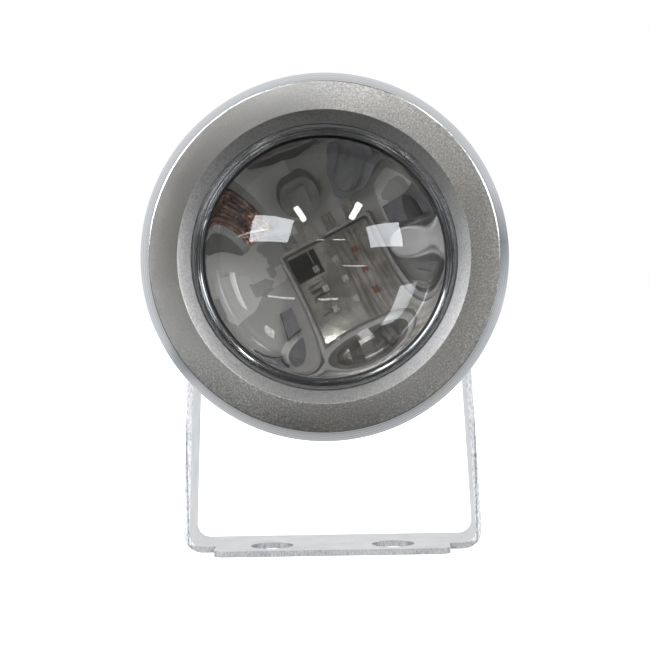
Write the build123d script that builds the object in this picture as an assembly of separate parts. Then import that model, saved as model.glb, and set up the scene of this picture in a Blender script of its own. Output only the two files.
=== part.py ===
from build123d import *
from math import asin, cos, sin
import os

# An underwater pool light: a finned, cast aluminium housing behind a screw-on front ring and a thick
# convex glass lens, tilting between the arms of a U bracket made from bent aluminium strip.
#
# Part frame, in millimetres: the origin is midway between the two mounting holes, on the underside of
# the bracket's base. +Z is up, +X is to the right of someone facing the lens, and the lamp faces -Y.
# Head pieces are drawn in the lamp's own frame and placed by LAMP: x to the right, y up, z forwards
# out of the lens, from the centre of the front ring's face. "Depth" is the distance behind that face.

# ---------------------------------------------------------------- driving dimensions
# Lens and its seals
dome_rim_radius = 37.8
dome_rise = 23.7
flange_width = 6.2
flange_depth = 9.8
flange_thickness = 5.0
gasket_thickness = 1.0
rear_seal_thickness = 2.0
seal_width = 5.8
lens_edge_chamfer = 0.5

# Front ring, outwards from the lens
dome_margin = 0.8
throat_width = 3.1
throat_depth = 7.8
throat_hollow = 0.66
face_fall = 0.4
chamfer_width = 3.7
chamfer_depth = 3.5
ring_wall = 6.4
ring_depth = 18.0
ring_bevel_width = 3.1
ring_bevel_depth = 4.0
ring_rear_chamfer = 0.8

# Housing
lens_clearance = 0.6
collar_wall = 6.4
thread_clearance = 0.10
collar_gap = 0.4
shoulder_height = 2.5
shoulder_gap = 0.3
shoulder_thickness = 2.5
lens_seat_width = 6.0
cavity_taper = 7.0
cavity_rounding = 3.0
wall = 3.6
floor_depth = 49.0
floor_thickness = 5.5
rib_count = 20
rib_thickness = 2.2
rib_height = 3.5
rib_rear_rise = 9.0
rib_corner = 5.0
rib_inner_radius = 15.0

# Tilt pivot
pivot_depth = 43.0
pivot_boss_radius = 11.0
pivot_boss_proud = 1.5
bolt_radius = 3.0
bolt_reach = 7.2
bolt_head_across_flats = 10.0
bolt_head_height = 4.0
washer_clearance = 0.2
flat_washer_radius = 7.0
flat_washer_thickness = 1.2
spring_washer_radius = 5.2
spring_washer_thickness = 1.5
friction_washer_radius = 9.5
friction_washer_thickness = 0.85
pivot_running_clearance = 0.06

# Bracket
axis_height = 95.8
sheet = 2.0
arm_splay = 3.8
arm_width = 24.0
pad_below_washer = 4.0
joggle_radius = 30.0
bend_outer_radius = 6.5
lip_depth = 11.0
lip_step = 11.15
lip_corner_radius = 3.5
mount_spacing = 40.0
mount_hole_radius = 7.0
mount_setback = 11.5

# Cable gland
gland_drop = 18.0
gland_boss_radius = 12.5
gland_boss_rise = 11.0
gland_thread_radius = 8.0
gland_thread_length = 10.0
gland_hex_across_flats = 20.0
gland_hex_thickness = 5.0
gland_barrel_radius = 7.5
gland_barrel_length = 8.0
gland_nut_across_flats = 19.0
gland_nut_length = 9.0
gland_nut_mouth_radius = 5.6
gland_dome_length = 5.0
gland_wall = 1.7
gland_gap = 0.05
gland_step = 1.0
gland_washer_thickness = 1.5
gland_washer_radius = 10.0
cable_radius = 3.25
lead_hole_radius = 4.0

# Circuit board and its screws
board_clearance = 2.5
board_thickness = 1.6
pad_thickness = 0.9
board_screw_radius = 1.5
board_screw_length = 6.0
board_screw_inset = 4.0
board_screw_count = 3

# LED package
led_offset = (1.9, -1.4)
led_turn = 26.0
led_size = 15.4
led_window = 13.6
led_base_thickness = 1.0
led_frame_height = 1.1
led_corner_radius = 0.8
led_cover_step = 0.4
led_cover_thickness = 0.3
die_size = 0.95
die_thickness = 0.15
die_pitch = 3.35
dies_per_side = 3
wire_radius = 0.06
wire_rise = 0.35
leads_per_side = 4
lead_pitch = 3.3
lead_width = 1.7
lead_thickness = 0.3
lead_reach = 2.4

# ---------------------------------------------------------------- derived places
dome_radius = (dome_rim_radius**2 + dome_rise**2) / (2 * dome_rise)
flange_radius = dome_rim_radius + flange_width
throat_radius = dome_rim_radius + dome_margin
chamfer_inner_radius = throat_radius + throat_width
face_inner_radius = chamfer_inner_radius + chamfer_width
seat_radius = flange_radius + lens_clearance
thread_radius = seat_radius + collar_wall
shoulder_radius = thread_radius + shoulder_height
ring_thread_radius = thread_radius + thread_clearance
ring_radius = ring_thread_radius + ring_wall

lip_rear_depth = flange_depth - gasket_thickness
flange_rear_depth = flange_depth + flange_thickness
seat_depth = flange_rear_depth + rear_seal_thickness
collar_front_depth = flange_depth + collar_gap
shoulder_front_depth = ring_depth + shoulder_gap
shoulder_rear_depth = shoulder_front_depth + shoulder_thickness
rear_depth = floor_depth + floor_thickness

cavity_mouth_radius = flange_radius - lens_seat_width
cavity_floor_radius = cavity_mouth_radius - cavity_taper
rib_radius = cavity_mouth_radius + rib_height
board_radius = cavity_floor_radius - board_clearance
board_back_depth = floor_depth - pad_thickness
board_front_depth = board_back_depth - board_thickness

boss_face_x = rib_radius + pivot_boss_proud
arm_inner_x = boss_face_x + friction_washer_thickness
arm_outer_x = arm_inner_x + sheet
base_width = 2 * (arm_outer_x + arm_splay)
lip_front_y = -mount_setback
arm_front_y = lip_front_y + lip_depth
pivot_y = arm_front_y + arm_width / 2
LAMP = Plane(origin=(0, pivot_y - pivot_depth, axis_height), x_dir=(1, 0, 0), z_dir=(0, -1, 0))

gland_centre = (0, -gland_drop)
gland_seat_depth = rear_depth + gland_boss_rise
gland_thread_depth = gland_seat_depth - gland_thread_length
gland_hex_depth = gland_seat_depth + gland_washer_thickness
gland_barrel_depth = gland_hex_depth + gland_hex_thickness
gland_end_depth = gland_barrel_depth + gland_barrel_length

led_side = led_size / 2
lead_edge = led_side + lead_reach

# Components round the LED: places measured across and up from its middle, some with a turn, and sizes
ir_receiver_at = (7.0, lead_edge + 3.2)
controller_at = (1.0, -lead_edge - 4.0)
controller_size = (5.0, 3.9, 1.6)
controller_lift = 0.15
coil_at = (-9.6, lead_edge + 4.2)
coil_turn = 15.0
coil_core_radius = 3.5
coil_neck_radius = 1.8
coil_height = 7.0
coil_flange = 1.1
choke_at = (-0.6, lead_edge + 3.6)
choke_size = (6.0, 4.6, 2.2)
capacitor_at = (led_side + 3.8, 0.2)
capacitor_radius = 2.65
capacitor_base_height = 0.8
transistor_places = [(led_side + 2.5, -4.8), (led_side + 2.5, -8.2), (led_side + 6.6, -6.5)]
transistor_size = (2.9, 1.7, 1.1)
resistor_places = [(led_side + 2.2, 5.4), (led_side + 5.0, 5.4), (-led_side - 2.2, -1.5),
                   (-led_side - 2.2, -5.6), (-5.4, -lead_edge - 2.6), (7.0, -lead_edge - 2.6)]
resistor_size = (1.6, 3.2, 0.6)
ceramic_places = [(led_side + 7.6, 0.2, 90), (-led_side - 5.2, -3.6, 0), (9.4, -lead_edge - 2.6, 90),
                  (3.6, lead_edge + 7.6, 0)]
ceramic_size = (2.0, 1.25, 1.1)
mould_draft = 6.0

# The supply's rectifier and solder posts stand low on the left, placed from the board's middle
rectifier_at = (-14.0, -13.0)
rectifier_size = (6.4, 4.0, 2.4)
post_clearance = 2.6
post_pitch = 4.4


# ---------------------------------------------------------------- helpers
def turned(*points):
    """A solid turned about the lamp's axis. Each point is (radius, depth behind the ring's face)."""
    outline = Polyline(*[(radius, -depth) for radius, depth in points], close=True)
    return revolve(Plane.XZ * make_face(outline), Axis.Z)


def disc(radius, front_depth, thickness, hole=0.0, at=(0, 0)):
    """A flat round piece square to the lamp's axis, with an optional hole."""
    shape = Cylinder(radius, thickness, align=(Align.CENTER, Align.CENTER, Align.MAX))
    if hole:
        shape -= Cylinder(hole, thickness, align=(Align.CENTER, Align.CENTER, Align.MAX))
    return Pos(at[0], at[1], -front_depth) * shape


def hex_prism(across_flats, front_depth, length, at=(0, 0)):
    """A hexagonal bar along the lamp's axis, flats up and down."""
    outline = RegularPolygon(across_flats / 2, 6, major_radius=False)
    return Pos(at[0], at[1], -front_depth - length) * extrude(outline, length)


def block(length, width, height, rounded=0.0):
    """A block standing on its own z = 0."""
    shape = Box(length, width, height, align=(Align.CENTER, Align.CENTER, Align.MIN))
    if rounded:
        shape = fillet(shape.edges().filter_by(Axis.Z), rounded)
    return shape


def post(radius, height):
    """A round post standing on its own z = 0."""
    return Cylinder(radius, height, align=(Align.CENTER, Align.CENTER, Align.MIN))


def group(solids):
    """Separate solids kept together in one node."""
    return Compound(children=[solid for shape in solids for solid in shape.solids()])


def both_sides(shape):
    """A right-hand piece and its mirror image on the left."""
    return [shape, mirror(shape, Plane.YZ)]


# ---------------------------------------------------------------- front ring, lens and seals
def front_ring():
    """Screw-on ring: a face that falls slightly outwards, a bevel, and a coved throat round the dome."""
    cove_front = (chamfer_inner_radius, -chamfer_depth)
    cove_rear = (throat_radius, -throat_depth)
    chord = Vector(*cove_rear) - Vector(*cove_front)
    into_metal = chord.rotate(Axis.Z, 90).normalized()
    cove_middle = Vector(*cove_front) + chord / 2 + into_metal * throat_hollow
    sides = Polyline(
        cove_front,
        (face_inner_radius, 0),
        (ring_radius - ring_bevel_width, -face_fall),
        (ring_radius, -ring_bevel_depth),
        (ring_radius, ring_rear_chamfer - ring_depth),
        (ring_radius - ring_rear_chamfer, -ring_depth),
        (ring_thread_radius, -ring_depth),
        (ring_thread_radius, -lip_rear_depth),
        (throat_radius, -lip_rear_depth),
        cove_rear,
    )
    outline = Curve() + [sides, ThreePointArc(cove_rear, cove_middle, cove_front)]
    return revolve(Plane.XZ * make_face(outline), Axis.Z)


def lens():
    """Plano-convex glass: a part-sphere dome on a round flange with a flat rear face."""
    rim_angle = asin(dome_rim_radius / dome_radius)
    centre = -flange_depth - dome_radius * cos(rim_angle)
    rear = -flange_rear_depth
    rim = (dome_rim_radius, -flange_depth)
    halfway = (dome_radius * sin(rim_angle / 2), centre + dome_radius * cos(rim_angle / 2))
    apex = (0, centre + dome_radius)
    chamfer_radius = flange_radius - lens_edge_chamfer
    back = Polyline(
        apex,
        (0, rear),
        (chamfer_radius, rear),
        (flange_radius, rear + lens_edge_chamfer),
        (flange_radius, -flange_depth - lens_edge_chamfer),
        (chamfer_radius, -flange_depth),
        rim,
    )
    outline = Curve() + [ThreePointArc(rim, halfway, apex), back]
    return revolve(Plane.XZ * make_face(outline), Axis.Z)


def lens_front_gasket():
    return disc(flange_radius, lip_rear_depth, gasket_thickness, throat_radius + thread_clearance)


def lens_rear_seal():
    return disc(flange_radius, flange_rear_depth, rear_seal_thickness, flange_radius - seal_width)


# ---------------------------------------------------------------- housing
def housing_shell():
    """The turned shape of the casting: threaded collar, shoulder, tapered cup and floor."""
    core_front_radius = cavity_mouth_radius + wall
    core_rear_radius = cavity_floor_radius + wall
    return turned(
        (0, floor_depth),
        (cavity_floor_radius, floor_depth),
        (cavity_mouth_radius, seat_depth + cavity_rounding),
        (cavity_mouth_radius, seat_depth),
        (seat_radius, seat_depth),
        (seat_radius, collar_front_depth),
        (thread_radius, collar_front_depth),
        (thread_radius, shoulder_front_depth),
        (shoulder_radius, shoulder_front_depth),
        (shoulder_radius, shoulder_rear_depth),
        (core_front_radius + cavity_rounding, shoulder_rear_depth),
        (core_front_radius, shoulder_rear_depth + cavity_rounding),
        (core_rear_radius, rear_depth - cavity_rounding),
        (core_rear_radius - cavity_rounding, rear_depth),
        (0, rear_depth),
    )


def cavity():
    """The hollow inside the housing, from the lens's seat to the floor."""
    return turned(
        (0, floor_depth),
        (cavity_floor_radius, floor_depth),
        (cavity_mouth_radius, seat_depth + cavity_rounding),
        (cavity_mouth_radius, seat_depth),
        (0, seat_depth),
    )


def cooling_rib():
    """One thin radial plate that runs down the side of the body and in over its rear face."""
    front = shoulder_rear_depth + cavity_rounding
    rear = rear_depth + rib_rear_rise
    root = floor_depth + floor_thickness / 2
    outline = Polyline(
        (cavity_mouth_radius + wall / 2, -front),
        (rib_radius, -front - rib_corner / 2),
        (rib_radius, -rear + rib_corner),
        (rib_radius - rib_corner, -rear),
        (rib_inner_radius, -rear),
        (rib_inner_radius, -root),
        (cavity_floor_radius + wall / 2, -root),
        close=True,
    )
    return extrude(Plane.XZ * make_face(outline), rib_thickness / 2, both=True)


def sideways(start_x, shape):
    """Lays a piece on the pivot's axis, its own z pointing out to the right from start_x."""
    return Pos(start_x, 0, -pivot_depth) * Rot(0, 90, 0) * shape


def pivot_boss():
    """The solid round pad on the right side that a pivot bolt screws into."""
    root = cavity_floor_radius + wall / 2
    return sideways(root, post(pivot_boss_radius, boss_face_x - root)) - cavity()


def pivot_thread():
    return sideways(boss_face_x - bolt_reach, post(bolt_radius, bolt_reach))


def screw_places():
    """The board screws' places round the lamp's axis, clear of the lead hole at the bottom."""
    return PolarLocations(board_radius - board_screw_inset, board_screw_count, start_angle=90)


def housing():
    body = housing_shell()
    body += [Rot(0, 0, 360 / rib_count * index) * cooling_rib() for index in range(rib_count)]
    body += disc(gland_boss_radius, rear_depth - gland_step, gland_boss_rise + gland_step, at=gland_centre)
    body += both_sides(pivot_boss())
    body -= disc(gland_thread_radius, gland_thread_depth, gland_thread_length, at=gland_centre)
    body -= disc(lead_hole_radius, floor_depth, gland_seat_depth - floor_depth, at=gland_centre)
    body -= both_sides(pivot_thread())
    thread_depth = board_screw_length - board_thickness - pad_thickness
    tapped = Pos(0, 0, -floor_depth - thread_depth) * post(board_screw_radius, thread_depth)
    return body - [place * tapped for place in screw_places()]


# ---------------------------------------------------------------- tilt pivot hardware
def pivot_washer(radius, start_x, thickness):
    washer = post(radius, thickness) - post(bolt_radius + washer_clearance, thickness)
    return sideways(start_x, washer)


def friction_washers():
    return group(both_sides(pivot_washer(friction_washer_radius, boss_face_x, friction_washer_thickness)))


def flat_washers():
    return group(both_sides(pivot_washer(flat_washer_radius, arm_outer_x, flat_washer_thickness)))


def spring_washers():
    """Split lock washers: a ring with a slanted cut."""
    start = arm_outer_x + flat_washer_thickness
    ring = pivot_washer(spring_washer_radius, start, spring_washer_thickness)
    slit_width, slant = 0.8, 35
    slit = Pos(start, spring_washer_radius, -pivot_depth) * Rot(slant, 0, 0) * Box(
        4 * spring_washer_thickness, 2 * (spring_washer_radius - bolt_radius), slit_width)
    return group(both_sides(ring - slit))


def pivot_bolts():
    """Hexagon-head bolts through the arms into the bosses."""
    head_x = arm_outer_x + flat_washer_thickness + spring_washer_thickness
    shank_x = boss_face_x - bolt_reach
    head = extrude(RegularPolygon(bolt_head_across_flats / 2, 6, major_radius=False), bolt_head_height)
    crown_slope, crown_inset = 2.0, 1.0
    crown_top = bolt_head_across_flats / 2 - crown_inset
    crown = Cone(crown_top + crown_slope * bolt_head_height, crown_top, bolt_head_height,
                 align=(Align.CENTER, Align.CENTER, Align.MIN))
    shank = post(bolt_radius, head_x - shank_x)
    shank = chamfer(shank.faces().sort_by(Axis.Z)[0].edges(), 0.5)
    return group(both_sides(sideways(head_x, head & crown) + sideways(shank_x, shank)))


# ---------------------------------------------------------------- cable gland
def gland_body():
    """Threaded stem, hexagon, and the slimmer barrel that the nut screws onto."""
    seal_depth = gland_hex_depth + gland_step
    stem = gland_hex_depth - gland_thread_depth
    body = disc(gland_thread_radius, gland_thread_depth, stem, at=gland_centre)
    body += hex_prism(gland_hex_across_flats, gland_hex_depth, gland_hex_thickness, at=gland_centre)
    body += disc(gland_barrel_radius, gland_barrel_depth, gland_barrel_length, at=gland_centre)
    body -= disc(lead_hole_radius, gland_thread_depth, gland_end_depth - gland_thread_depth, at=gland_centre)
    return body - disc(gland_barrel_radius - gland_wall, seal_depth, gland_end_depth - seal_depth,
                       at=gland_centre)


def gland_washer():
    return disc(gland_washer_radius, gland_seat_depth, gland_washer_thickness, gland_thread_radius,
                at=gland_centre)


def gland_nut():
    """Cap nut with a tapered end that presses the seal onto the cable."""
    start = gland_barrel_depth + gland_step / 2
    end = start + gland_nut_length + gland_dome_length
    nut = hex_prism(gland_nut_across_flats, start, gland_nut_length, at=gland_centre)
    dome = Cone(gland_nut_mouth_radius, gland_nut_across_flats / 2, gland_dome_length,
                align=(Align.CENTER, Align.CENTER, Align.MIN))
    nut += Pos(*gland_centre, -end) * dome
    nut -= disc(gland_barrel_radius + gland_gap, start, gland_end_depth + washer_clearance - start,
                at=gland_centre)
    return nut - disc(cable_radius + gland_step, start, end - start, at=gland_centre)


def gland_seal():
    """Rubber sleeve round the cable, inside the barrel."""
    start = gland_hex_depth + gland_step
    return disc(gland_barrel_radius - gland_wall - gland_gap, start, gland_end_depth - start, cable_radius,
                at=gland_centre)


# ---------------------------------------------------------------- board and LED
def board_blank(radius, front_depth, thickness, lead_hole, screw_hole):
    """A round sheet under the LED, with its lead hole and screw holes."""
    sheet_piece = disc(radius, front_depth, thickness)
    sheet_piece -= disc(lead_hole, front_depth, thickness, at=gland_centre)
    hole = Pos(0, 0, -front_depth - thickness) * post(screw_hole, thickness)
    return sheet_piece - [place * hole for place in screw_places()]


def led_board():
    return board_blank(board_radius, board_front_depth, board_thickness, lead_hole_radius,
                       board_screw_radius + washer_clearance / 2)


def thermal_pad():
    return board_blank(board_radius - 0.5, board_back_depth, pad_thickness, lead_hole_radius + 0.5,
                       board_screw_radius + washer_clearance)


def board_screws():
    """Pan-head cross-recess screws."""
    head_radius, head_height, slot = board_screw_radius * 1.9, 1.7, 0.6
    head = fillet(post(head_radius, head_height).faces().sort_by(Axis.Z)[-1].edges(), head_height / 2)
    recess = Box(head_radius * 1.2, slot, head_height) + Box(slot, head_radius * 1.2, head_height)
    head -= Pos(0, 0, head_height) * recess
    screw = head + Pos(0, 0, -board_screw_length) * post(board_screw_radius, board_screw_length)
    return group([place * Pos(0, 0, -board_front_depth) * screw for place in screw_places()])


def on_board(x, y, turn=0.0, height=0.0):
    """A place on the board's front face, z towards the lens."""
    return Pos(x, y, height - board_front_depth) * Rot(0, 0, turn)


def on_led(height=0.0):
    """The LED's own frame: the middle of its underside, turned with it on the board."""
    return on_board(*led_offset, led_turn, height)


def beside_led(across, up, turn=0.0, height=0.0):
    """A place on the board, measured in the LED's own frame."""
    return on_led(height) * Pos(across, up, 0) * Rot(0, 0, turn)


def spread(count, pitch):
    """Evenly spaced positions about zero."""
    return [(index - (count - 1) / 2) * pitch for index in range(count)]


def led_base():
    """Silver-plated copper slug."""
    return on_led() * block(led_size, led_size, led_base_thickness, led_corner_radius)


def cover_blank():
    side = led_window + 2 * led_cover_step
    return Pos(0, 0, led_frame_height - led_cover_thickness) * block(side, side, led_cover_thickness,
                                                                     led_corner_radius / 2)


def led_frame():
    """Moulded wall round the window, with a step that carries the clear cover."""
    frame = block(led_size, led_size, led_frame_height, led_corner_radius)
    frame -= block(led_window, led_window, led_frame_height, led_corner_radius / 2)
    frame -= cover_blank()
    return on_led(led_base_thickness) * (frame - [place * lead_root() for place in lead_places()])


def led_cover():
    return on_led(led_base_thickness) * cover_blank()


def led_dies():
    die = block(die_size, die_size, die_thickness)
    columns = spread(dies_per_side, die_pitch)
    return group([on_led(led_base_thickness) * Pos(x, y, 0) * die for x in columns for y in columns])


def bond_wire():
    """A thin wire that arches from one die to the next, or to the lead at the end of its column."""
    half_run = (die_pitch - die_size / 2) / 2
    path = Plane.YZ * ThreePointArc((-half_run, 0), (0, wire_rise), (half_run, 0))
    return sweep(Plane(origin=path @ 0, z_dir=path % 0) * Circle(wire_radius), path)


def led_bond_wires():
    height = led_base_thickness + die_thickness + wire_radius
    columns = spread(dies_per_side, die_pitch)
    spans = spread(dies_per_side + 1, die_pitch)
    return group([on_led(height) * Pos(x, y, 0) * bond_wire() for x in columns for y in spans])


def lead_places():
    """Leads stand in two rows, along the LED's upper and lower edges."""
    return [Rot(0, 0, side) * Pos(x, led_side, 0)
            for side in (0, 180) for x in spread(leads_per_side, lead_pitch)]


def lead_root():
    """The part of a lead that is moulded into the frame."""
    inner = (led_size - led_window) / 2
    return Pos(0, -inner / 2, 0) * block(lead_width, inner, lead_thickness)


def led_leads():
    """Flat tabs that run out of the frame and step down onto the board's pads."""
    drop = led_base_thickness
    inner = (led_size - led_window) / 2
    bend = lead_thickness
    profile = Polyline(
        (-inner, 0),
        (bend, 0),
        (bend, -drop),
        (lead_reach, -drop),
        (lead_reach, -drop + lead_thickness),
        (bend + lead_thickness, -drop + lead_thickness),
        (bend + lead_thickness, lead_thickness),
        (-inner, lead_thickness),
        close=True,
    )
    lead = extrude(Plane.YZ * make_face(profile), lead_width / 2, both=True)
    return group([on_led(led_base_thickness) * place * lead for place in lead_places()])


# ---------------------------------------------------------------- components round the LED
def ir_receiver():
    """Remote-control receiver: a black block with a round lens bump that looks out through the dome."""
    length, width, height, bump_radius = 5.2, 5.0, 2.6, 1.9
    body = block(length, width, height, 1.2)
    bump = Pos(0, 0, height) * Sphere(bump_radius)
    return beside_led(*ir_receiver_at) * (body + (bump - Pos(0, 0, -height) * post(length, height)))


def chip(length, width, height, lift=0.0):
    """A moulded body with slightly drafted sides, standing on its legs."""
    return Pos(0, 0, lift) * extrude(Rectangle(length, width), height - lift, taper=mould_draft)


def controller_place():
    return beside_led(*controller_at)


def controller_chip():
    return controller_place() * chip(*controller_size, controller_lift)


def controller_pins():
    """Eight gull-wing legs, four a side."""
    length, width, height = controller_size
    leg_pitch, leg_width, leg_gauge, root, out = 1.27, 0.4, 0.15, 0.3, 1.1
    top = height * 0.45
    side = width / 2
    profile = Polyline(
        (side - root, top),
        (side + out / 2, top),
        (side + out / 2, leg_gauge),
        (side + out, leg_gauge),
        (side + out, 0),
        (side + out / 2 - leg_gauge, 0),
        (side + out / 2 - leg_gauge, top - leg_gauge),
        (side - root, top - leg_gauge),
        close=True,
    )
    leg = extrude(Plane.YZ * make_face(profile), leg_width / 2, both=True)
    body = chip(*controller_size, controller_lift)
    legs = [Rot(0, 0, turn) * Pos(x, 0, 0) * leg - body
            for turn in (0, 180) for x in spread(4, leg_pitch)]
    return group([controller_place() * one for one in legs])


def driver_transistors():
    return group([beside_led(*place) * chip(*transistor_size) for place in transistor_places])


def rectifier():
    return on_board(*rectifier_at, led_turn) * chip(*rectifier_size)


def coil_place():
    """The coil lies on its side, its own z along the board, so that the winding faces the lens."""
    lying = Rot(0, 90, 0) * Pos(0, 0, -coil_height / 2)
    return beside_led(*coil_at, coil_turn, coil_core_radius) * lying


def coil_core():
    """Ferrite drum of the step-down coil."""
    flange = post(coil_core_radius, coil_flange)
    top = Pos(0, 0, coil_height - coil_flange)
    return coil_place() * (flange + post(coil_neck_radius, coil_height) + top * flange)


def coil_winding():
    """Enamelled copper, as one ribbed sleeve between the drum's flanges."""
    turns = 8
    pitch = (coil_height - 2 * coil_flange) / turns
    valley = coil_core_radius - 0.3 - pitch / 2
    ridges = []
    for index in range(turns):
        start = coil_flange + index * pitch
        ridges.append(ThreePointArc((valley, start), (valley + pitch / 2, start + pitch / 2),
                                    (valley, start + pitch)))
    back = Polyline((valley, coil_height - coil_flange), (coil_neck_radius, coil_height - coil_flange),
                    (coil_neck_radius, coil_flange), (valley, coil_flange))
    outline = Curve() + [*ridges, back]
    return coil_place() * revolve(Plane.XZ * make_face(outline), Axis.Z)


def choke():
    """Moulded power choke with a rounded outline and a square core on top."""
    length, width, height = choke_size
    core_side, core_rise, core_rounding, flat_end = 2.8, 0.5, 0.3, 0.1
    core = Pos(0, 0, height) * block(core_side, core_side, core_rise, core_rounding)
    return beside_led(*choke_at) * (block(length, width, height, width / 2 - flat_end) + core)


def capacitor_place():
    return beside_led(*capacitor_at)


def capacitor_can():
    """Electrolytic can with a crimp groove near its foot."""
    height, groove_depth, groove_width = 5.4, 0.2, 0.6
    can = post(capacitor_radius, height)
    can = fillet(can.faces().sort_by(Axis.Z)[-1].edges(), 0.6)
    groove = post(capacitor_radius, groove_width) - post(capacitor_radius - groove_depth, groove_width)
    return capacitor_place() * Pos(0, 0, capacitor_base_height) * (can - Pos(0, 0, 1.4) * groove)


def capacitor_base():
    """Square plastic foot with two cut corners."""
    side = 2 * capacitor_radius + 0.2
    base = block(side, side, capacitor_base_height)
    corners = base.edges().filter_by(Axis.Z).sort_by(Axis.X)[-2:]
    return capacitor_place() * chamfer(corners, 1.0)


def resistors():
    return group([beside_led(*place) * block(*resistor_size) for place in resistor_places])


def ceramic_capacitors():
    return group([beside_led(*place) * block(*ceramic_size) for place in ceramic_places])


def supply_posts():
    """Two solder posts beside the lead hole, for the cable's two cores."""
    pin_radius, pin_height, foot_radius, foot_height = 0.9, 2.2, 1.5, 0.5
    stand = post(pin_radius, pin_height) + post(foot_radius, foot_height)
    across = lead_hole_radius + post_clearance
    return group([on_board(-across, y - gland_drop) * stand for y in spread(2, post_pitch)])


# ---------------------------------------------------------------- bracket
def arm_outline():
    """The arms seen from the side: straight edges and a round end about the pivot."""
    below = sheet
    strip = Pos(pivot_y, (axis_height - below) / 2) * Rectangle(arm_width, axis_height + below)
    return Plane.YZ * (strip + Pos(pivot_y, axis_height) * Circle(arm_width / 2))


def bracket_strip():
    """The strip bent into a U that narrows upwards to two upright pads at the pivot."""
    half_base = base_width / 2
    pad_z = axis_height - friction_washer_radius - pad_below_washer
    top = axis_height + arm_width
    corners = [(-arm_outer_x, top), (-arm_outer_x, pad_z), (-half_base, 0), (half_base, 0),
               (arm_outer_x, pad_z), (arm_outer_x, top)]
    radii = [joggle_radius, bend_outer_radius, bend_outer_radius, joggle_radius]
    outside = make_face(FilletPolyline(*corners, radius=radii) + Line(corners[-1], corners[0]))
    inside = offset(outside, -sheet, kind=Kind.INTERSECTION)
    top_bar = Pos(0, top) * Rectangle(2 * arm_inner_x, 4 * sheet)
    strip = extrude(Plane.XZ * (outside - inside - top_bar), -arm_width)
    return Pos(0, arm_front_y, 0) * strip


def bracket():
    """Bent strip with a lip along the base's front edge, two mounting holes and two pivot holes."""
    plate = bracket_strip() & extrude(arm_outline(), base_width, both=True)
    lip = Pos(0, lip_front_y, 0) * Box(base_width - 2 * lip_step, lip_depth + arm_width / 2, sheet,
                                       align=(Align.CENTER, Align.MIN, Align.MIN))
    plate += fillet(lip.edges().filter_by(Axis.Z).sort_by(Axis.Y)[:2], lip_corner_radius)
    plate -= [Pos(x, 0, 0) * Cylinder(mount_hole_radius, 3 * sheet) for x in spread(2, mount_spacing)]
    pivot_hole = Cylinder(bolt_radius + pivot_running_clearance, 2 * base_width)
    return plate - Pos(0, pivot_y, axis_height) * Rot(0, 90, 0) * pivot_hole


# ---------------------------------------------------------------- all the pieces
head_pieces = [front_ring, lens, lens_front_gasket, lens_rear_seal, housing, friction_washers,
               flat_washers, spring_washers, pivot_bolts, gland_body, gland_washer, gland_seal,
               gland_nut, thermal_pad, led_board, board_screws, led_base, led_frame, led_cover,
               led_dies, led_bond_wires, led_leads, ir_receiver, controller_chip, controller_pins,
               driver_transistors, rectifier, coil_core, coil_winding, choke, capacitor_can,
               capacitor_base, resistors, ceramic_capacitors, supply_posts]

os.makedirs("parts", exist_ok=True)
for piece in head_pieces:
    export_step(LAMP.location * piece(), f"parts/{piece.__name__}.step")
export_step(bracket(), "parts/bracket.step")
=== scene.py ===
import math
import bpy
from mathutils import Euler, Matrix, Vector


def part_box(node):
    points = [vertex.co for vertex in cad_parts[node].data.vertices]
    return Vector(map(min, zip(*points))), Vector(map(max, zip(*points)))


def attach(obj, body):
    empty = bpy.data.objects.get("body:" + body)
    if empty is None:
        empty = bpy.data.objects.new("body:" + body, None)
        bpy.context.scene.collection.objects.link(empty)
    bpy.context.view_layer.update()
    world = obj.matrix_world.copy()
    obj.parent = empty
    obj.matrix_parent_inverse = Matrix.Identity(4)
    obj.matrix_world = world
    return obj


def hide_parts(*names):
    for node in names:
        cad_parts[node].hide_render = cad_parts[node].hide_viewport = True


# The underwater pool light's looks: a high-resolution front ring and lens turned from their
# outlines, procedural materials for every piece, and a white studio with two softboxes and a
# few small lamps.

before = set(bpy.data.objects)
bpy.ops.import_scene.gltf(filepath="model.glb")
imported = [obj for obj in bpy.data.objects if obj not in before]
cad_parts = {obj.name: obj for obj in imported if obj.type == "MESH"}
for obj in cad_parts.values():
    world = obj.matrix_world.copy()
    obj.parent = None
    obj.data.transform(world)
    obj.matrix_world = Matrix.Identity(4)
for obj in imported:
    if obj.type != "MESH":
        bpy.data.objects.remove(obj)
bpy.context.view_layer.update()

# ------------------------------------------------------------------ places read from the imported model
MM = 0.001
RING_LOW, RING_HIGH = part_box("front_ring")
LENS_LOW, LENS_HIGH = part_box("lens")
BASE_LOW, BASE_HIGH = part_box("led_base")
BRACKET_HALF_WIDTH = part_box("bracket")[1].x
AXIS_Z = (RING_LOW.z + RING_HIGH.z) / 2
FACE_Y = RING_LOW.y
RING_RADIUS = (RING_HIGH.z - RING_LOW.z) / 2
LED_CENTRE = (BASE_LOW + BASE_HIGH) / 2
LED_TURN = math.radians(26)


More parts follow.
